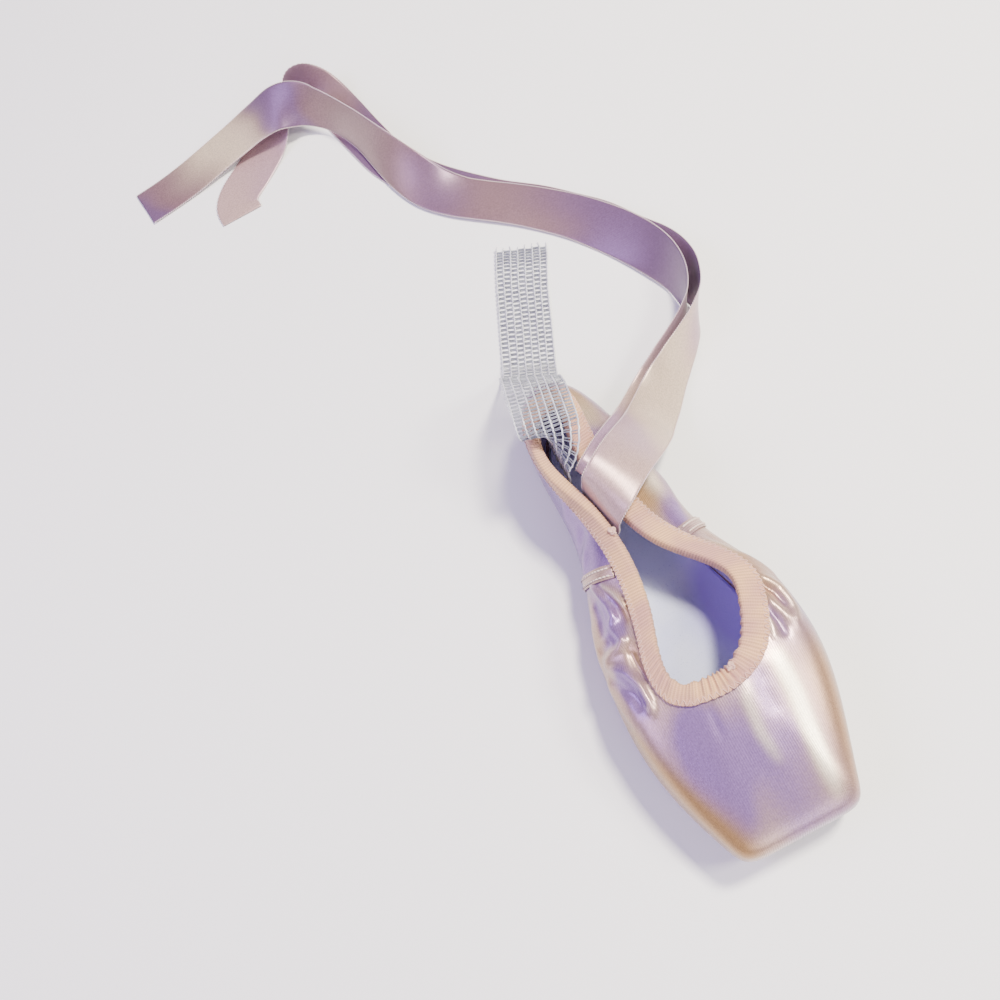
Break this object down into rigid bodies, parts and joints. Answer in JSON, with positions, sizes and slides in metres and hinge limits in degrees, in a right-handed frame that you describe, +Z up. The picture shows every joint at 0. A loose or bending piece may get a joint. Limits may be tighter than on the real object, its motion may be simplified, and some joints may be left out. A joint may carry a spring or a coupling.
{
  "type": "pointe shoe",
  "caption": "Satin pointe shoe standing empty on its sole: hard box and flat toe platform, gathered drawstring casing, long ankle ribbons and an elastic heel strap.",
  "frame": {"origin": "on the floor under the middle of the shoe's box, ribbons and elastic left out", "axes": "+Z up, +Y from the toe platform to the heel, +X to the wearer's right for a shoe that points away"},
  "size_m": [0.2534, 0.4998, 0.0683],
  "materials": {
    "satin": "glossy satin weave over a stiffened box",
    "leather": "thin tan sole leather, suede side out",
    "board": "pale grey-blue insole board",
    "sock": "bluish white sock cloth",
    "tape": "ribbed peach binding tape, gathered",
    "ribbon": "double-faced satin ribbon",
    "mesh": "open elastic netting of silvery cords"
  },
  "bodies": {
    "root": {"upper": "satin", "outsole": "leather", "insole": "board", "sock_lining": "sock", "drawstring_casing": "tape", "side_seam_right": "satin", "side_seam_left": "satin", "back_seam": "satin", "ribbon_left": "ribbon", "ribbon_right": "ribbon", "heel_elastic": "mesh"}
  },
  "joints": []
}
